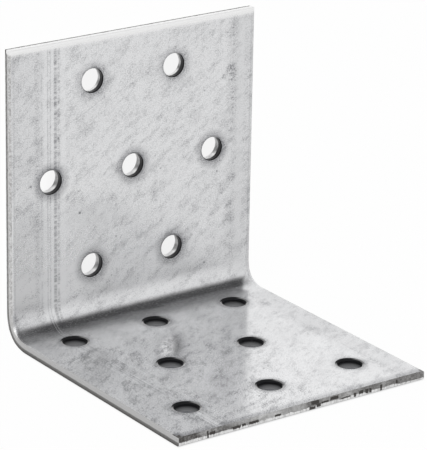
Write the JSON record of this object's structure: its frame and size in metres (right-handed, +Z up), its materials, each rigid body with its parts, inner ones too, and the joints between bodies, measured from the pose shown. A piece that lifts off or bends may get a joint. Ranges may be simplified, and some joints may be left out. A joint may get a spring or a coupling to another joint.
{
  "type": "corner brace bracket",
  "caption": "Right-angle corner bracket folded from one strip of galvanised sheet steel, with staggered rows of punched screw holes in both legs.",
  "frame": {"origin": "on the plane that the foot leg rests on, under the middle of the whole bracket's box", "axes": "+X along the fold, +Y out of the upright leg's back, +Z up the upright leg; the foot leg reaches towards -Y"},
  "size_m": [0.06, 0.062, 0.063],
  "materials": {
    "galvanised_steel": "continuously galvanised sheet, satin and lightly smudged, with bare sheared edges"
  },
  "bodies": {
    "root": {"bracket": "galvanised_steel"}
  },
  "joints": []
}
